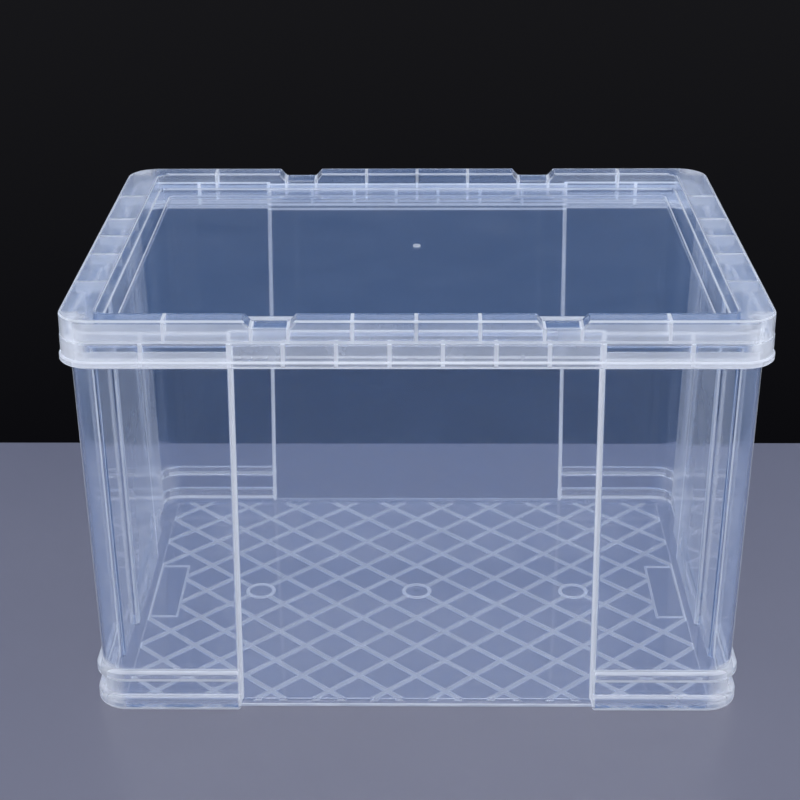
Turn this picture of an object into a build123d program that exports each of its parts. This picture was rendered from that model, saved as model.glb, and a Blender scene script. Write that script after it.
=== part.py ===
from build123d import *
import math
import os

# Clear stacking container: one thin-walled tub and one lift-off lid.
# Frame: origin at the centre of the footprint on the resting plane, +Z up,
# +X along the long side, -Y towards the front. Millimetres.

os.makedirs("parts", exist_ok=True)

# ---------------------------------------------------------------- driving sizes
LENGTH = 532.0          # over the skirt bead, along X
DEPTH = 401.0           # over the skirt bead, along Y
HEIGHT = 336.0          # resting plane to the top of the lid's raised band

WALL = 2.2              # tub wall
DRAFT = 1.25            # wall draft, degrees
PILLAR_X = 258.7        # half length of the tub wall at the upstand's top
PILLAR_Y = 193.7        # half depth of the tub wall at the upstand's top
CORNER_R = 24.0         # plan radius of the tub's corners
PANEL_X = 136.0         # half width of the recessed panel on the long sides, at the top
PANEL_X_LOW = 140.2     # the same on the resting plane
PANEL_IN_Y = 5.0        # how far that panel is set in
STEP_Y = 112.0          # half width of the recessed panel on the short sides
STEP_IN_X = 5.0         # how far that panel is set in
SIDE_Y = 50.0           # half width of the deeper field in its middle, at the top
SIDE_Y_LOW = 60.0
SIDE_IN_X = 9.0         # how far that field is set in
UPSTAND_Z = 324.8       # top of the tub's wall, inside the lid's band

FLANGE_Z = 318.1        # top of the tub's flange
FLANGE_T = 2.4
SKIRT_X = 264.8         # half length of the skirt's face
SKIRT_Y = 199.3
SKIRT_R = 25.5
SKIRT_T = 2.2
SKIRT_BOTTOM = 298.8
BEAD_H = 5.4            # bead along the skirt's lower edge
SLOT_Z = (311.4, 315.4) # slots in the skirt, beside the pillars
SLOT_X = ((138.9, 198.8), (205.2, 238.5))

FLOOR_TOP = 2.8
FLOOR_UNDER = 1.0       # height of the lattice under the floor plate
LATTICE = 47.2          # node spacing of the diamond lattice
LATTICE_W = 4.6
FLOOR_X = 235.0         # half size of the latticed field
FLOOR_Y = 176.0
FOOT_X = 257.6          # half length over the foot flange and the foot bead
FOOT_Y = 193.2
FOOT_H = 12.0
FOOT_BEAD = (26.5, 35.5)
LIP_H = 2.4             # lip at the foot of the set-in panels

LID_X = 264.4           # half length of the lid's outer wall
LID_Y = 198.9
LID_R = 25.0
LID_BOTTOM = 318.3
LID_T = 2.2
BAND_IN_X = 236.8       # inner edge of the raised band, short sides
BAND_IN_Y = 181.6       # inner edge of the raised band, long sides
BAND_IN_R = 10.0
SEAT_Z = 321.2          # floor of the groove inside the band
LID_PANEL_X = 225.0
LID_PANEL_Y = 156.0
LID_PANEL_Z = 323.2
NOTCH_Z = 329.7         # top of the band in the notches
NOTCH_X = (93.3, 120.6)
NOTCH_RUN = 5.6         # run of the sloped ends of the raised segments
RIB_X = (0.0, 46.6, 93.3, 120.6, 184.7)
RIB_T = 1.8


def prism(sketch, z0, z1):
    return extrude(Plane.XY.offset(z0) * sketch, amount=z1 - z0)


def tapered(sketch, z_top, z_bottom):
    """Prism from z_top down, drawn in by the draft."""
    plane = Plane(origin=(0, 0, z_top), x_dir=(1, 0, 0), z_dir=(0, 0, -1))
    # the sketches are symmetric about X and Y, so the flipped plane changes nothing
    return extrude(plane * sketch, amount=z_top - z_bottom, taper=DRAFT)


def notched(half_x, half_y, radius, in_y, in_x, panel_x, side_y, r_out=1.6, r_in=1.6):
    """Rounded rectangle with one shallow recess in the middle of each side."""
    base = RectangleRounded(2 * half_x, 2 * half_y, radius)
    cut = Sketch() + [
        Pos(0, s * half_y) * Rectangle(2 * panel_x, 2 * in_y) for s in (1, -1)
    ]
    cut += [Pos(s * half_x, 0) * Rectangle(2 * in_x, 2 * side_y) for s in (1, -1)]
    shape = base - cut
    outer, inner = [], []
    for v in shape.vertices():
        on_long = abs(abs(v.X) - panel_x) < 0.01
        on_short = abs(abs(v.Y) - side_y) < 0.01
        if on_long and abs(abs(v.Y) - half_y) < 0.01:
            outer.append(v)
        elif on_long and abs(abs(v.Y) - (half_y - in_y)) < 0.01:
            inner.append(v)
        elif on_short and abs(abs(v.X) - half_x) < 0.01:
            outer.append(v)
        elif on_short and abs(abs(v.X) - (half_x - in_x)) < 0.01:
            inner.append(v)
    shape = fillet(outer + inner, r_out)
    return shape


# ---------------------------------------------------------------- tub
def trapezoid_bar(half_top, half_low, length, along_x):
    """Bar through the whole tub whose half width grows from top to bottom."""
    pts = [
        (half_top, UPSTAND_Z + 1),
        (half_low, -1.0),
        (-half_low, -1.0),
        (-half_top, UPSTAND_Z + 1),
    ]
    face = make_face(Polyline(*pts, close=True))
    if along_x:
        plane = Plane(origin=(0, 0, 0), x_dir=(0, 1, 0), z_dir=(1, 0, 0))
    else:
        plane = Plane(origin=(0, 0, 0), x_dir=(1, 0, 0), z_dir=(0, -1, 0))
    return extrude(plane * face, amount=length, both=True)


def tub_body(inset, z_low):
    """Drafted body with its four set-in panels, shrunk by inset all round."""
    hx, hy = PILLAR_X - inset, PILLAR_Y - inset
    body = tapered(RectangleRounded(2 * hx, 2 * hy, CORNER_R - inset), UPSTAND_Z, z_low)
    core_y = tapered(Rectangle(4 * hx, 2 * (hy - PANEL_IN_Y)), UPSTAND_Z, z_low)
    core_x = tapered(Rectangle(2 * (hx - SIDE_IN_X), 4 * hy), UPSTAND_Z, z_low)
    long_cut = trapezoid_bar(PANEL_X + inset, PANEL_X_LOW + inset, 300, False) - core_y
    short_cut = trapezoid_bar(SIDE_Y + inset, SIDE_Y_LOW + inset, 300, True) - core_x
    core_step = tapered(Rectangle(2 * (hx - STEP_IN_X), 4 * hy), UPSTAND_Z, z_low)
    step_cut = trapezoid_bar(STEP_Y + inset, STEP_Y + inset, 300, True) - core_step
    body = body - long_cut - step_cut - short_cut
    upright = []
    for e in body.edges():
        b = e.bounding_box()
        if b.size.Z < 100:
            continue
        c = e.center()
        if (
            abs(abs(c.X) - (PANEL_X + PANEL_X_LOW) / 2 - inset) < 1.5
            or abs(abs(c.Y) - (SIDE_Y + SIDE_Y_LOW) / 2 - inset) < 1.5
            or abs(abs(c.Y) - STEP_Y - inset) < 1.5
        ):
            upright.append(e)
    return fillet(upright, 1.5)


shell = tub_body(0.0, 0.0)
cavity = tub_body(WALL, FLOOR_TOP)

# foot flange and foot bead, on the four corner pillars only
drop = UPSTAND_Z * math.tan(math.radians(DRAFT))
wall_x0 = PILLAR_X - drop
wall_y0 = PILLAR_Y - drop
foot_plan = notched(
    FOOT_X,
    FOOT_Y,
    CORNER_R + 2.0,
    FOOT_Y - (wall_y0 - PANEL_IN_Y),
    FOOT_X - (wall_x0 - STEP_IN_X),
    PANEL_X_LOW + 0.3,
    STEP_Y + 0.3,
)
foot = prism(foot_plan, 0.0, FOOT_H)
bead = prism(foot_plan, *FOOT_BEAD)


def outer_edges(solid, z):
    """Edges at height z that lie on the outside of the pillars."""
    keep = []
    for e in solid.edges():
        b = e.bounding_box()
        if abs(b.min.Z - z) > 0.01 or abs(b.max.Z - z) > 0.01:
            continue
        c = e.center()
        if abs(abs(c.Y) - FOOT_Y) < 0.01 or abs(abs(c.X) - FOOT_X) < 0.01 or (
            abs(c.X) > FOOT_X - CORNER_R - 4 and abs(c.Y) > FOOT_Y - CORNER_R - 4
        ):
            keep.append(e)
    return keep


foot = fillet(outer_edges(foot, 0.0), 3.0)
foot = fillet(outer_edges(foot, FOOT_H), 2.5)
bead = fillet(outer_edges(bead, FOOT_BEAD[1]), 3.4)
bead = fillet(outer_edges(bead, FOOT_BEAD[0]), 1.6)

# thin lip that closes the foot of the set-in panels, flush with the pillars
lip = prism(RectangleRounded(2 * wall_x0, 2 * wall_y0, CORNER_R), 0.0, LIP_H)
lip = fillet(lip.edges().group_by(Axis.Z)[0], 0.8)
lip = fillet(lip.edges().group_by(Axis.Z)[-1], 0.8)

tub = shell + lip + foot + bead

# top flange, skirt and the bead along the skirt's lower edge
skirt_plan = RectangleRounded(2 * SKIRT_X, 2 * SKIRT_Y, SKIRT_R)
skirt_in = RectangleRounded(
    2 * (SKIRT_X - SKIRT_T), 2 * (SKIRT_Y - SKIRT_T), SKIRT_R - SKIRT_T
)
bead_plan = RectangleRounded(LENGTH, DEPTH, SKIRT_R + 1.2)
rim = prism(skirt_plan, SKIRT_BOTTOM, FLANGE_Z) - prism(
    skirt_in, SKIRT_BOTTOM - 1, FLANGE_Z - FLANGE_T
)
rim_bead = prism(bead_plan, SKIRT_BOTTOM, SKIRT_BOTTOM + BEAD_H) - prism(
    skirt_in, SKIRT_BOTTOM - 1, FLANGE_Z
)
rim_bead = chamfer(
    [
        e
        for e in rim_bead.edges()
        if max(abs(e.center().X) / (LENGTH / 2), abs(e.center().Y) / (DEPTH / 2)) > 0.9
        and e.bounding_box().size.Z < 0.01
        and (
            abs(abs(e.center().X) - LENGTH / 2) < 0.01
            or abs(abs(e.center().Y) - DEPTH / 2) < 0.01
            or math.hypot(
                abs(e.center().X) - (LENGTH / 2 - SKIRT_R - 1.2),
                abs(e.center().Y) - (DEPTH / 2 - SKIRT_R - 1.2),
            )
            > SKIRT_R
        )
    ],
    0.9,
)
rim = rim + rim_bead

# slots in the skirt beside each pillar, two by two
slots = Part() + [
    Pos(sx * (a + b) / 2, sy * SKIRT_Y, (SLOT_Z[0] + SLOT_Z[1]) / 2)
    * Box(b - a, 8.0, SLOT_Z[1] - SLOT_Z[0])
    for sx in (1, -1)
    for sy in (1, -1)
    for a, b in SLOT_X
]
rim = rim - slots

# webs that tie the skirt to the wall
WEB_TOP = FLANGE_Z - FLANGE_T + 0.2
webs = []
for x in (19.5, 58.5, 97.5, 137.2, 202.0):
    web_bottom = 303.0 if x < 130 else 307.0
    for sx in (1, -1):
        for sy in (1, -1):
            webs.append(
                Pos(sx * x, sy * (SKIRT_Y - 9.0), (web_bottom + WEB_TOP) / 2)
                * Box(RIB_T, 17.0, WEB_TOP - web_bottom)
            )
for y in (0.0, 39.0, 78.0, 117.0, 150.0):
    for sy in (1, -1) if y else (1,):
        for sx in (1, -1):
            webs.append(
                Pos(sx * (SKIRT_X - 9.0), sy * y, (303.0 + WEB_TOP) / 2)
                * Box(17.0, RIB_T, WEB_TOP - 303.0)
            )
inside_skirt = prism(
    RectangleRounded(2 * SKIRT_X - 1, 2 * SKIRT_Y - 1, SKIRT_R - 0.5), 290, 325
)
webs = (Part() + webs) & inside_skirt

tub = tub + rim + webs
tub = tub - cavity

# floor: a lattice of ribs under the plate, three rings and two plain pads
field = Rectangle(2 * FLOOR_X, 2 * FLOOR_Y)
bars = []
reach = 2 * (FLOOR_X + FLOOR_Y)
n_max = int((FLOOR_X + FLOOR_Y) / LATTICE) + 1
for n in range(-n_max, n_max + 1):
    for turn in (45, -45):
        bars.append(Pos(n * LATTICE, 0) * Rot(0, 0, turn) * Rectangle(reach, LATTICE_W))
lattice = Sketch() + bars
lattice = lattice & field
RINGS = (0.0, 140.0, -140.0)
for x in RINGS:
    lattice = lattice - Pos(x, 0) * Circle(13.3)
    lattice = lattice + (Pos(x, 0) * Circle(13.3) - Pos(x, 0) * Circle(10.0))
PAD_X, PAD_Y = 209.0, 46.5
for s in (1, -1):
    pad = Pos(s * (PAD_X + FLOOR_X) / 2, 0) * Rectangle(FLOOR_X - PAD_X, 2 * PAD_Y)
    frame_in = Pos(s * ((PAD_X + FLOOR_X) / 2 + s * 0.0), 0) * Rectangle(
        FLOOR_X - PAD_X - 4.0, 2 * PAD_Y - 4.0
    )
    lattice = lattice - pad
    lattice = lattice + (pad - frame_in)
pockets = field - lattice
tub = tub - prism(pockets, 0.0, FLOOR_UNDER)
# small raised gate mark in the middle of the floor's centre ring
tub = tub + prism(Circle(2.6), FLOOR_TOP - 0.5, FLOOR_TOP + 0.8)

# ---------------------------------------------------------------- lid
lid_plan = RectangleRounded(2 * LID_X, 2 * LID_Y, LID_R)
band_in = RectangleRounded(2 * BAND_IN_X, 2 * BAND_IN_Y, BAND_IN_R)
lid = prism(lid_plan, LID_BOTTOM, HEIGHT)
# underside of the groove's floor
lid = lid - prism(
    RectangleRounded(2 * (BAND_IN_X + LID_T), 2 * (BAND_IN_Y + LID_T), BAND_IN_R + LID_T),
    LID_BOTTOM - 1,
    SEAT_Z - LID_T,
)
lid = lid - prism(band_in, SEAT_Z, HEIGHT + 1)
outer_top, inner_top = [], []
for e in lid.edges():
    b = e.bounding_box()
    if b.min.Z < HEIGHT - 0.01:
        continue
    c = e.center()
    inner = abs(c.X) < BAND_IN_X + 0.1 and abs(c.Y) < BAND_IN_Y + 0.1
    (inner_top if inner else outer_top).append(e)
lid = fillet(outer_top, 1.6)
lid = fillet(
    [
        e
        for e in lid.edges()
        if e.bounding_box().min.Z > HEIGHT - 0.01
        and abs(e.center().X) < BAND_IN_X + 0.1
        and abs(e.center().Y) < BAND_IN_Y + 0.1
    ],
    1.2,
)


def notch_cut(z_low, x0, x1, run, y_out, y_in, z_top):
    """Trapezoid across the band: floor from x0 to x1 at z_low, ends sloping out."""
    rise = z_top - z_low
    slope = run / (HEIGHT - NOTCH_Z)
    pts = [
        (x0, z_low),
        (x1, z_low),
        (x1 + slope * rise, z_top),
        (x0 - slope * rise, z_top),
    ]
    face = make_face(Polyline(*pts, close=True))
    plane = Plane(origin=(0, y_out, 0), x_dir=(1, 0, 0), z_dir=(0, -1, 0))
    return extrude(plane * face, amount=abs(y_out - y_in))


notches = []
for sx in (1, -1):
    for sy in (1, -1):
        a, b = NOTCH_X if sx > 0 else (-NOTCH_X[1], -NOTCH_X[0])
        y_hi = LID_Y + 2 if sy > 0 else -(BAND_IN_Y - 1)
        notches.append(
            notch_cut(NOTCH_Z, a, b, NOTCH_RUN, y_hi, y_hi - (LID_Y - BAND_IN_Y + 3), HEIGHT + 2)
        )
lid = lid - (Part() + notches)

# the centre panel standing in the groove
panel = prism(
    RectangleRounded(2 * LID_PANEL_X, 2 * LID_PANEL_Y, 5.0), SEAT_Z - 0.5, LID_PANEL_Z
)
panel = fillet(panel.edges().group_by(Axis.Z)[-1], 0.8)
lid = lid + panel

# hollow of the band, from below
chan_out = RectangleRounded(2 * (LID_X - LID_T), 2 * (LID_Y - LID_T), LID_R - LID_T)
chan_in = RectangleRounded(
    2 * (BAND_IN_X + LID_T), 2 * (BAND_IN_Y + LID_T), BAND_IN_R + LID_T
)
channel = prism(chan_out - chan_in, LID_BOTTOM - 1, HEIGHT - LID_T)
# the hollow dips under the notches
dips = []
for sx in (1, -1):
    for sy in (1, -1):
        a, b = NOTCH_X if sx > 0 else (-NOTCH_X[1], -NOTCH_X[0])
        y_hi = LID_Y + 2 if sy > 0 else -(BAND_IN_Y - 1)
        dips.append(
            notch_cut(
                NOTCH_Z - LID_T,
                a - 0.8,
                b + 0.8,
                NOTCH_RUN,
                y_hi,
                y_hi - (LID_Y - BAND_IN_Y + 3),
                HEIGHT + 2,
            )
        )
channel = channel - (Part() + dips)
lid = lid - channel

# hollow under the centre panel
lid = lid - prism(
    RectangleRounded(2 * (LID_PANEL_X - LID_T), 2 * (LID_PANEL_Y - LID_T), 3.0),
    SEAT_Z - LID_T - 1,
    LID_PANEL_Z - LID_T,
)

# webs inside the band: a full-depth part above the tub's upstand, and a leg
# outside it
ribs = []
for x in RIB_X:
    top = (NOTCH_Z if x in NOTCH_X else HEIGHT) - 0.8
    leg_in = 190.6 if x < PANEL_X - 3 else 195.6
    for sx in (1, -1) if x else (1,):
        for sy in (1, -1):
            t = RIB_T + (1.4 if x == 0 else 0.0)
            upper_z0 = UPSTAND_Z + 0.6
            if top - upper_z0 > 0.5:
                ribs.append(
                    Pos(
                        sx * x,
                        sy * (LID_Y - 1 + BAND_IN_Y + 1) / 2,
                        (upper_z0 + top) / 2,
                    )
                    * Box(t, LID_Y - BAND_IN_Y - 2, top - upper_z0)
                )
            ribs.append(
                Pos(sx * x, sy * (LID_Y - 1 + leg_in) / 2, (LID_BOTTOM + 0.8 + top) / 2)
                * Box(t, LID_Y - 1 - leg_in, top - LID_BOTTOM - 0.8)
            )
for y in (0.0, 46.0, 112.0):
    for sy in (1, -1) if y else (1,):
        for sx in (1, -1):
            z0, z1 = UPSTAND_Z + 0.6, HEIGHT - 0.8
            ribs.append(
                Pos(sx * (LID_X - 1 + BAND_IN_X + 1) / 2, sy * y, (z0 + z1) / 2)
                * Box(LID_X - BAND_IN_X - 2, RIB_T, z1 - z0)
            )
lid = lid + ribs

# shallow fields in the top of the short-side bands, between the corner segments
for sx in (1, -1):
    for y0, y1 in ((-111.5, -46.6), (-45.4, -0.6), (0.6, 45.4), (46.6, 111.5)):
        plan = Pos(sx * (LID_X - 1.6 + BAND_IN_X + 4.0) / 2, (y0 + y1) / 2) * RectangleRounded(
            LID_X - BAND_IN_X - 5.6, y1 - y0, 3.0
        )
        lid = lid - prism(plan, HEIGHT - 0.5, HEIGHT + 1)

# gate mark on the panel
lid = lid + Pos(0.0, 11.0) * prism(Circle(3.0), LID_PANEL_Z - 0.5, LID_PANEL_Z + 0.9)

for name, shape in (("tub", tub), ("lid", lid)):
    solids = shape.solids()
    print(name, "solids", len(solids), "volume", round(shape.volume), shape.bounding_box())
    export_step(shape, f"parts/{name}.step")
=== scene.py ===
import math

import bpy
from mathutils import Matrix, Vector

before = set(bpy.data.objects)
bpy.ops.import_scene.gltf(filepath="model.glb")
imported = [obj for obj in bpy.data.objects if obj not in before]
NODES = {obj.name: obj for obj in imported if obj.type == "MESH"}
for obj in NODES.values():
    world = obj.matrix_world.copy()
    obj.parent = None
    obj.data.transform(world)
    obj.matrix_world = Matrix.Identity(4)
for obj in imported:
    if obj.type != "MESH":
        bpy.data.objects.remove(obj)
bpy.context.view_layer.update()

scene = bpy.context.scene

# ---------------------------------------------------------------- sizes, metres
LENGTH, DEPTH, HEIGHT = 0.532, 0.401, 0.336
PANEL_X, PANEL_X_LOW = 0.1360, 0.1402
SIDE_Y, SIDE_Y_LOW = 0.050, 0.060
STEP_Y = 0.112
SKIRT_BOTTOM = 0.2988
FLANGE_Z = 0.3181
UPSTAND_Z = 0.3248
LATTICE, LATTICE_W = 0.0472, 0.0046


# ---------------------------------------------------------------- camera
def make_camera():
    pitch, yaw, roll = map(math.radians, (23.3465, 0.6881, -0.2435))
    forward = Vector((-math.sin(yaw) * math.cos(pitch), math.cos(yaw) * math.cos(pitch), -math.sin(pitch)))
    right = Vector((math.cos(yaw), math.sin(yaw), 0.0))
    up = right.cross(forward)
    r = right * math.cos(roll) + up * math.sin(roll)
    u = -right * math.sin(roll) + up * math.cos(roll)
    m = Matrix((r, u, -forward)).transposed().to_4x4()
    m.translation = Vector((0.0026841, -1.4193866, 0.8007038))
    data = bpy.data.cameras.new("camera")
    data.lens = 1802.3 * 36.0 / 800.0
    data.sensor_width = 36.0
    data.clip_start, data.clip_end = 0.05, 50.0
    cam = bpy.data.objects.new("camera", data)
    cam.matrix_world = m
    scene.collection.objects.link(cam)
    scene.camera = cam
    return cam


# ---------------------------------------------------------------- node helpers
class Tree:
    """Small helper round a shader node tree."""

    def __init__(self, name):
        self.mat = bpy.data.materials.new(name)
        self.mat.use_nodes = True
        self.t = self.mat.node_tree
        self.t.nodes.clear()

    def node(self, kind, **values):
        n = self.t.nodes.new(kind)
        for k, v in values.items():
            setattr(n, k, v)
        return n

    def link(self, a, b):
        self.t.links.new(a, b)

    def math(self, op, a, b=None, c=None, clamp=False):
        n = self.node("ShaderNodeMath", operation=op, use_clamp=clamp)
        for i, v in enumerate((a, b, c)):
            if v is None:
                continue
            if isinstance(v, (int, float)):
                n.inputs[i].default_value = v
            else:
                self.link(v, n.inputs[i])
        return n.outputs[0]

    def band(self, x, lo, hi, soft):
        """1 where lo < x < hi, with soft edges."""
        a = self.ramp(x, lo - soft, lo)
        b = self.ramp(x, hi, hi + soft)
        return self.math("MULTIPLY", a, self.math("SUBTRACT", 1.0, b))

    def ramp(self, x, lo, hi, out_lo=0.0, out_hi=1.0):
        n = self.node("ShaderNodeMapRange", interpolation_type="SMOOTHSTEP")
        self.link(x, n.inputs["Value"])
        for k, v in (("From Min", lo), ("From Max", hi), ("To Min", out_lo), ("To Max", out_hi)):
            n.inputs[k].default_value = v
        return n.outputs[0]


def plastic(name, kind):
    """Clear, slightly milky moulded plastic: bent and mirrored light, with a
    thin haze. The haze is denser where more plastic lies in the way: in ribs,
    corners, the rim, the band and the foot, and partly at glancing faces.
    The bright lines along steps, fillets, rims, borders and silhouettes are
    painted highlights, and haze on the back is set weaker as painted shade."""
    k = Tree(name)
    coord = k.node("ShaderNodeTexCoord").outputs["Object"]
    sep = k.node("ShaderNodeSeparateXYZ")
    k.link(coord, sep.inputs[0])
    x, y, z = sep.outputs
    ax, ay = k.math("ABSOLUTE", x), k.math("ABSOLUTE", y)

    def times(*v):
        out = v[0]
        for w in v[1:]:
            out = k.math("MULTIPLY", out, w)
        return out

    def plus(*v):
        out = v[0]
        for w in v[1:]:
            out = k.math("ADD", out, w)
        return out

    def near(value, places, half, soft):
        """1 close to any of the places."""
        out = None
        for p in places:
            d = k.math("ABSOLUTE", k.math("SUBTRACT", value, p))
            m = k.math("SUBTRACT", 1.0, k.ramp(d, half, half + soft))
            out = m if out is None else k.math("MAXIMUM", out, m)
        return out

    normal = k.node("ShaderNodeSeparateXYZ")
    k.link(k.node("ShaderNodeTexCoord").outputs["Normal"], normal.inputs[0])
    ny, nz = normal.outputs[1], normal.outputs[2]

    # faint unevenness of the moulded wall
    noise = k.node("ShaderNodeTexNoise")
    noise.inputs["Scale"].default_value = 22.0
    noise.inputs["Detail"].default_value = 4.0
    k.link(coord, noise.inputs["Vector"])
    cloud = k.math("SUBTRACT", noise.outputs["Fac"], 0.5)

    if kind == "tub":
        step_x = k.math("SUBTRACT", ax, k.math("MULTIPLY_ADD", z, (PANEL_X - PANEL_X_LOW) / UPSTAND_Z, PANEL_X_LOW))
        step_y = k.math("SUBTRACT", ay, k.math("MULTIPLY_ADD", z, (SIDE_Y - SIDE_Y_LOW) / UPSTAND_Z, SIDE_Y_LOW))
        on_long = k.ramp(ay, 0.1720, 0.1740)
        on_short = k.ramp(ax, 0.2340, 0.2360)
        above = k.ramp(z, 0.0032, 0.0046)
        # painted shade: haze on what stands at the back (y > 0) is set weaker, down to 0.55 of the front
        front = k.math("MULTIPLY_ADD", k.ramp(y, -0.02, 0.10), -0.45, 1.0)
        # painted highlight: a bright line along the pillar steps of the long sides
        step_highlight = times(k.band(step_x, -0.0007, 0.0020, 0.0006), on_long, above, front)
        step_highlight = times(step_highlight, k.math("SUBTRACT", 1.0, k.ramp(z, 0.3172, 0.3180)))
        depth = k.math("SUBTRACT", k.math("MULTIPLY_ADD", z, 0.02182, 0.25161), ax)
        # painted highlight: bright lines along the steps of the short sides, at |y| = STEP_Y and further in
        side_step_highlight = times(
            k.band(k.math("SUBTRACT", ay, STEP_Y), -0.0012, 0.0026, 0.0006),
            k.math("SUBTRACT", 1.0, k.ramp(depth, 0.0024, 0.0034)),
            on_short,
            above,
        )
        inner_step_highlight = times(
            k.band(step_y, -0.0012, 0.0024, 0.0005),
            k.ramp(depth, 0.0078, 0.0086),
            on_short,
            above,
        )
        rim = k.ramp(z, 0.2965, 0.2988)
        ribs = times(
            near(ax, (0.0195, 0.0585, 0.0975, 0.1372, 0.2020), 0.0013, 0.0004),
            k.ramp(ay, 0.1890, 0.1900),
            k.ramp(z, 0.3000, 0.3020),
        )
        at_skirt = k.math("MAXIMUM", k.ramp(ay, 0.1980, 0.1984), k.ramp(ax, 0.2635, 0.2639))
        # painted highlight: bright lines at the skirt bottom, the bead top and the upstand top, fainter near the
        # flange on the skirt
        edge_highlight = k.math(
            "MAXIMUM",
            near(z, (0.2991, 0.3036, 0.3245), 0.0006, 0.0005),
            times(near(z, (0.3176,), 0.0005, 0.0004), at_skirt, 0.35),
        )
        skirt = times(
            k.band(z, 0.2988, 0.3112, 0.0003), k.ramp(ay, 0.1960, 0.1970), k.ramp(ax, 0.1360, 0.1372)
        )
        mid_skirt = times(
            k.band(z, 0.2988, 0.3176, 0.0003),
            k.ramp(ay, 0.1960, 0.1970),
            k.math("SUBTRACT", 1.0, k.ramp(ax, 0.1360, 0.1372)),
        )
        outer = k.math(
            "MAXIMUM",
            k.math("SUBTRACT", ax, k.math("MULTIPLY_ADD", z, 0.02182, 0.25191)),
            k.math("SUBTRACT", ay, k.math("MULTIPLY_ADD", z, 0.02182, 0.18691)),
        )
        proud = k.ramp(outer, 0.0, 0.0008)
        bead = k.band(z, 0.0255, 0.0365, 0.0008)
        foot = k.math("SUBTRACT", 1.0, k.ramp(z, 0.0100, 0.0114))
        # painted highlight: bright lines at the bottom of the foot and near the bottom and top of the bead
        foot_line_highlight = k.math(
            "MAXIMUM", near(z, (0.0014, 0.0280), 0.0011, 0.0006), times(near(z, (0.0345,), 0.0008, 0.0006), 0.65)
        )
        side = k.math("MAXIMUM", k.ramp(ay, 0.1790, 0.1800), k.ramp(ax, 0.2400, 0.2410))
        # painted highlight: a bright line along the bottom of the side walls, just inside their outer face
        hem_highlight = times(k.math("SUBTRACT", 1.0, k.ramp(z, 0.0026, 0.0036)), side, k.ramp(outer, -0.0022, -0.0010))
        low = k.math("SUBTRACT", 1.0, k.ramp(z, 0.0004, 0.0007))

        def bars(sign):
            s = k.math("ADD", x, k.math("MULTIPLY", y, sign))
            w = k.math("PINGPONG", k.math("ADD", s, 50 * LATTICE), LATTICE / 2)
            return k.math("SUBTRACT", 1.0, k.ramp(w, LATTICE_W * 0.60, LATTICE_W * 0.80))

        inside = times(
            k.math("SUBTRACT", 1.0, k.ramp(ax, 0.2350, 0.2352)),
            k.math("SUBTRACT", 1.0, k.ramp(ay, 0.1760, 0.1762)),
        )
        # the three rings and the two framed pads keep the bars out
        def radius(cx):
            dx = k.math("SUBTRACT", ax, cx)
            return k.math("SQRT", plus(times(dx, dx), times(y, y)))

        r = k.math("MINIMUM", radius(0.0), radius(0.1400))
        ring = k.band(r, 0.0102, 0.0131, 0.0004)
        hole = k.math("SUBTRACT", 1.0, k.ramp(r, 0.0131, 0.0134))
        pad_d = k.math(
            "MAXIMUM",
            k.math("SUBTRACT", k.math("ABSOLUTE", k.math("SUBTRACT", ax, 0.2220)), 0.0130),
            k.math("SUBTRACT", ay, 0.0465),
        )
        frame_line = k.band(pad_d, -0.0020, 0.0, 0.0003)
        pad = k.math("SUBTRACT", 1.0, k.ramp(pad_d, 0.0, 0.0003))
        lattice = k.math("MAXIMUM", bars(1.0), bars(-1.0))
        lattice = times(lattice, k.math("SUBTRACT", 1.0, hole), k.math("SUBTRACT", 1.0, pad))
        lattice = k.math("MAXIMUM", lattice, k.math("MAXIMUM", ring, frame_line))
        lattice = times(lattice, inside, low)
        floor_edge = times(
            near(ax, (0.2350,), 0.0008, 0.0006), low, k.math("SUBTRACT", 1.0, k.ramp(ay, 0.1760, 0.1762))
        )
        corner = times(k.ramp(ax, 0.238, 0.252), k.ramp(ay, 0.172, 0.187))
        foot_corner = times(k.ramp(ax, 0.226, 0.244), k.ramp(ay, 0.160, 0.178))
        thick = plus(
            times(rim, k.math("MULTIPLY_ADD", k.ramp(ay, 0.176, 0.184), 0.040, 0.012)),
            times(corner, rim, 0.32),
            times(ribs, 0.75),
            times(edge_highlight, rim, 0.66),
            times(skirt, 0.33),
            times(mid_skirt, 0.15),
            times(step_highlight, 0.88),
            times(side_step_highlight, 0.75),
            times(inner_step_highlight, 0.35),
            times(lattice, 0.50),
            times(ring, low, 0.25),
            times(floor_edge, 0.30),
            times(hem_highlight, 0.60),
            times(k.math("MAXIMUM", foot, bead), proud, 0.14),
            times(foot_line_highlight, proud, front, 0.75),
            # painted shade: this corner haze falls from 0.26 at the front to 0.10 at the back
            times(k.math("SUBTRACT", 1.0, k.ramp(z, 0.0365, 0.0420)), foot_corner, side, k.ramp(y, -0.02, 0.10, 0.26, 0.10)),
            times(corner, k.math("SUBTRACT", 1.0, rim), 0.035),
        )
        foot_top = times(k.band(z, 0.0090, 0.0130, 0.0006), proud)
        rough = plus(
            times(rim, 0.07), times(lattice, 0.10), times(corner, 0.16), times(foot_top, 0.30), 0.025
        )
        calm = 1.0
    else:
        band = k.ramp(
            k.math("MAXIMUM", k.math("SUBTRACT", ax, 0.2368), k.math("SUBTRACT", ay, 0.1816)), -0.0006, 0.0004
        )
        ribs = k.math(
            "MAXIMUM",
            times(near(ax, (0.0, 0.0466, 0.0933, 0.1206, 0.1847), 0.0010, 0.0005), k.ramp(ay, 0.1816, 0.1824)),
            times(near(ay, (0.0, 0.046, 0.112), 0.0008, 0.0004), k.ramp(ax, 0.2368, 0.2376), 0.45),
        )
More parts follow.
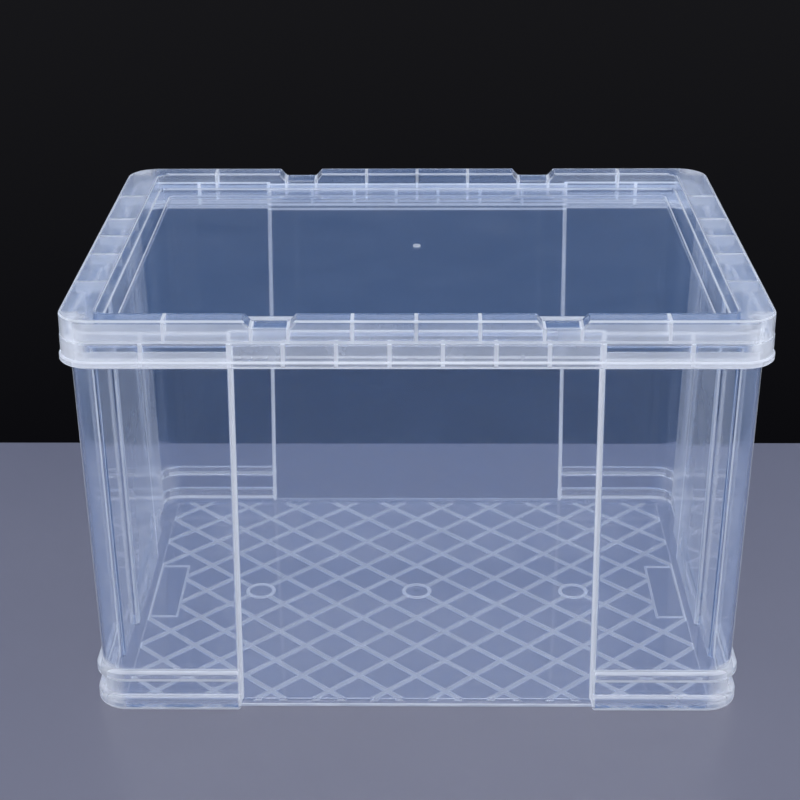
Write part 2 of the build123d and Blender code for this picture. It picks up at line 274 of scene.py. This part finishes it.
        # painted highlight: a bright line along the band's fillets, where it turns from top to side
        turn = k.band(k.math("ABSOLUTE", nz), 0.25, 0.92, 0.04)
        along = k.math("MAXIMUM", k.ramp(k.math("ABSOLUTE", ny), 0.10, 0.25), k.ramp(ax, 0.225, 0.232))
        band_edge_highlight = times(turn, k.ramp(z, 0.3284, 0.3290), band, along)
        top = times(k.ramp(k.math("ABSOLUTE", nz), 0.94, 0.98), k.ramp(z, 0.3338, 0.3352))
        # painted highlight: a bright line along the bottom of the lid's outer wall
        foot = times(
            k.math("SUBTRACT", 1.0, k.ramp(z, 0.3202, 0.3208)),
            k.math("MAXIMUM", k.ramp(ay, 0.1978, 0.1982), k.ramp(ax, 0.2633, 0.2637)),
        )
        panel = k.math(
            "MAXIMUM", k.math("SUBTRACT", ax, 0.2250), k.math("SUBTRACT", ay, 0.1560)
        )
        # painted highlight: a bright line along the boundary of the centre panel
        panel_edge_highlight = k.math("SUBTRACT", 1.0, k.ramp(k.math("ABSOLUTE", panel), 0.0006, 0.0012))
        # painted highlight: a bright line along the inner boundary of the band, kept below z = 0.3222
        inner = k.math(
            "MAXIMUM", k.math("SUBTRACT", ax, 0.2368), k.math("SUBTRACT", ay, 0.1816)
        )
        inner = times(
            k.math("SUBTRACT", 1.0, k.ramp(k.math("ABSOLUTE", inner), 0.0006, 0.0012)),
            k.math("SUBTRACT", 1.0, k.ramp(z, 0.3218, 0.3226)),
        )
        corner = times(k.ramp(ax, 0.238, 0.252), k.ramp(ay, 0.172, 0.188))
        wall = times(k.band(z, 0.3196, 0.3330, 0.0006), k.ramp(ay, 0.1960, 0.1970))
        # painted highlight: a bright line along the top of the lid's outer faces
        top_edge_highlight = times(
            k.ramp(z, 0.3343, 0.3347), k.math("MAXIMUM", k.ramp(ay, 0.1966, 0.1971), k.ramp(ax, 0.2624, 0.2629))
        )
        mark_y = k.math("SUBTRACT", y, 0.011)
        mark = times(
            k.math("SUBTRACT", 1.0, k.ramp(plus(times(x, x), times(mark_y, mark_y)), 0.0000090, 0.0000120)),
            k.ramp(z, 0.3229, 0.3231),
        )
        upright = k.math("SUBTRACT", 1.0, k.ramp(k.math("ABSOLUTE", nz), 0.10, 0.30))
        at_inner = k.math(
            "MAXIMUM", k.math("SUBTRACT", ax, 0.2368), k.math("SUBTRACT", ay, 0.1816)
        )
        clear_wall = times(upright, k.math("SUBTRACT", 1.0, k.ramp(k.math("ABSOLUTE", at_inner), 0.0006, 0.0030)))
        # the short sides have a finely mottled top
        speck = k.node("ShaderNodeTexNoise")
        speck.inputs["Scale"].default_value = 230.0
        speck.inputs["Detail"].default_value = 3.0
        k.link(coord, speck.inputs["Vector"])
        mottle = k.ramp(speck.outputs["Fac"], 0.42, 0.62, 0.0, 3.2)
        flat = k.ramp(k.math("ABSOLUTE", nz), 0.90, 0.97)
        long_band = times(k.ramp(ax, 0.2362, 0.2370), mottle, flat)
        thick = plus(
            times(long_band, 0.034),
            times(ribs, 0.70),
            times(band_edge_highlight, 0.66),
            times(top, band, 0.01),
            times(foot, 0.80),
            times(panel_edge_highlight, 0.60),
            times(inner, 0.45),
            times(corner, band, 0.28),
            # painted shade: this wall haze falls from 1.0 at the front to 0.35 at the back
            times(wall, k.ramp(ax, 0.080, 0.170, 0.19, 0.40), k.ramp(y, -0.02, 0.10, 1.0, 0.35)),
            times(top_edge_highlight, 0.70),
            times(mark, 0.55),
        )
        rough = plus(times(band, k.math("SUBTRACT", 1.0, times(clear_wall, 0.8)), 0.10), 0.03)
        calm = k.math("MULTIPLY_ADD", clear_wall, -0.85, 1.0)

    # haze rising at glancing faces is partly the longer path through the plastic and partly a painted highlight at
    # silhouettes and fillets; the second term adds a painted highlight right at the silhouette
    facing = k.node("ShaderNodeLayerWeight")
    facing.inputs["Blend"].default_value = 0.5
    glance = k.math("MULTIPLY", k.math("POWER", facing.outputs["Facing"], 7.0), calm)
    silhouette_highlight = times(k.ramp(facing.outputs["Facing"], 0.90, 0.98), 0.30, calm)
    thin = plus(k.math("MULTIPLY_ADD", glance, 0.72, 0.049), silhouette_highlight)
    haze = plus(thin, thick)
    haze = times(haze, k.math("MULTIPLY_ADD", cloud, 0.6, 1.0))
    haze = k.math("MINIMUM", haze, 0.94)

    glass = k.node("ShaderNodeBsdfPrincipled")
    glass.inputs["Base Color"].default_value = (0.985, 0.992, 1.0, 1)
    glass.inputs["Transmission Weight"].default_value = 1.0
    glass.inputs["IOR"].default_value = 1.49
    k.link(k.math("MULTIPLY", rough, k.math("MULTIPLY_ADD", cloud, 0.8, 1.0)), glass.inputs["Roughness"])

    # thin haze scatters blue, thick plastic scatters nearly white
    tint = k.node("ShaderNodeMix", data_type="RGBA")
    k.link(k.ramp(haze, 0.03, 0.22), tint.inputs[0])
    tint.inputs[6].default_value = (0.20, 0.47, 1.0, 1)
    tint.inputs[7].default_value = (0.955, 0.97, 0.995, 1)
    milk = k.node("ShaderNodeBsdfPrincipled")
    k.link(tint.outputs[2], milk.inputs["Base Color"])
    milk.inputs["Roughness"].default_value = 0.30
    trans = k.node("ShaderNodeBsdfTranslucent")
    k.link(tint.outputs[2], trans.inputs["Color"])
    white = k.node("ShaderNodeMixShader")
    white.inputs[0].default_value = 0.5
    k.link(milk.outputs[0], white.inputs[1])
    k.link(trans.outputs[0], white.inputs[2])

    body = k.node("ShaderNodeMixShader")
    k.link(haze, body.inputs[0])
    k.link(glass.outputs[0], body.inputs[1])
    k.link(white.outputs[0], body.inputs[2])

    clear = k.node("ShaderNodeBsdfTransparent")
    clear.inputs["Color"].default_value = (0.89, 0.89, 0.89, 1)
    path = k.node("ShaderNodeLightPath")
    out = k.node("ShaderNodeMixShader")
    k.link(path.outputs["Is Shadow Ray"], out.inputs[0])
    k.link(body.outputs[0], out.inputs[1])
    k.link(clear.outputs[0], out.inputs[2])
    end = k.node("ShaderNodeOutputMaterial")
    k.link(out.outputs[0], end.inputs["Surface"])
    return k.mat


def floor_material():
    k = Tree("floor")
    p = k.node("ShaderNodeBsdfPrincipled")
    coord = k.node("ShaderNodeTexCoord").outputs["Object"]
    noise = k.node("ShaderNodeTexNoise")
    noise.inputs["Scale"].default_value = 3.0
    noise.inputs["Detail"].default_value = 2.0
    k.link(coord, noise.inputs["Vector"])
    mix = k.node("ShaderNodeMix", data_type="RGBA")
    mix.inputs[6].default_value = (0.190, 0.186, 0.230, 1)
    mix.inputs[7].default_value = (0.212, 0.208, 0.252, 1)
    k.link(noise.outputs["Fac"], mix.inputs[0])
    k.link(mix.outputs[2], p.inputs["Base Color"])
    p.inputs["Roughness"].default_value = 0.32
    end = k.node("ShaderNodeOutputMaterial")
    k.link(p.outputs[0], end.inputs["Surface"])
    return k.mat


# ---------------------------------------------------------------- stage
def make_floor():
    import bmesh

    bm = bmesh.new()
    bmesh.ops.create_grid(bm, x_segments=1, y_segments=1, size=1.0)
    for v in bm.verts:
        v.co.x *= 1.3
        v.co.y = 0.3207 if v.co.y > 0 else -1.3
        v.co.z = -0.0002
    mesh = bpy.data.meshes.new("floor")
    bm.to_mesh(mesh)
    bm.free()
    o = bpy.data.objects.new("floor", mesh)
    scene.collection.objects.link(o)
    mesh.materials.append(floor_material())
    return o


def area(name, where, look, size, power, colour=(1, 1, 1)):
    d = bpy.data.lights.new(name, "AREA")
    d.shape = "RECTANGLE"
    d.size, d.size_y = size
    d.energy = power
    d.color = colour
    o = bpy.data.objects.new(name, d)
    o.location = where
    o.rotation_euler = (Vector(look) - Vector(where)).to_track_quat("-Z", "Y").to_euler()
    scene.collection.objects.link(o)
    return o


def make_light():
    world = bpy.data.worlds.new("studio")
    scene.world = world
    world.use_nodes = True
    t = world.node_tree
    t.nodes.clear()
    coord = t.nodes.new("ShaderNodeTexCoord")
    sep = t.nodes.new("ShaderNodeSeparateXYZ")
    t.links.new(coord.outputs["Generated"], sep.inputs[0])
    ramp = t.nodes.new("ShaderNodeValToRGB")
    e = ramp.color_ramp.elements
    e[0].position, e[0].color = 0.0, (0.003, 0.003, 0.004, 1)
    e[1].position, e[1].color = 1.0, (0.50, 0.56, 0.70, 1)
    for at, c in (
        (0.29, (0.003, 0.003, 0.004)),
        (0.41, (0.0085, 0.0085, 0.0100)),
        (0.50, (0.010, 0.012, 0.018)),
        (0.56, (0.045, 0.072, 0.150)),
        (0.70, (0.100, 0.145, 0.270)),
        (0.80, (0.220, 0.270, 0.410)),
    ):
        m = e.new(at)
        m.color = (*c, 1)
    half = t.nodes.new("ShaderNodeMapRange")
    t.links.new(sep.outputs["Z"], half.inputs["Value"])
    half.inputs["From Min"].default_value = -1.0
    half.inputs["From Max"].default_value = 1.0
    t.links.new(half.outputs[0], ramp.inputs[0])
    back = t.nodes.new("ShaderNodeBackground")
    t.links.new(ramp.outputs[0], back.inputs[0])
    back.inputs[1].default_value = 1.0
    out = t.nodes.new("ShaderNodeOutputWorld")
    t.links.new(back.outputs[0], out.inputs[0])

    area("top", (0, -0.75, 1.45), (0, -0.35, 0), (1.3, 0.8), 6.5, (0.97, 0.98, 1.0))
    area("left", (-1.5, -0.5, 0.8), (0, -0.1, 0.15), (0.6, 1.2), 5.5, (0.96, 0.98, 1.0))
    area("right", (1.5, -0.4, 0.8), (0, -0.1, 0.15), (0.6, 1.2), 7, (0.96, 0.98, 1.0))
    area("front", (0, -2.4, 1.7), (0, 0, 0.1), (1.6, 0.8), 18, (0.98, 0.985, 1.0))


make_camera()
make_floor()
make_light()

tub, lid = NODES["tub"], NODES["lid"]
for o, kind in ((tub, "tub"), (lid, "lid")):
    mat = plastic("clear_" + kind, kind)
    for s in o.material_slots:
        s.material = mat

scene.view_settings.view_transform = "Standard"
scene.cycles.max_bounces = 32
scene.cycles.transmission_bounces = 32
scene.cycles.transparent_max_bounces = 32
scene.cycles.diffuse_bounces = 4
scene.cycles.glossy_bounces = 6
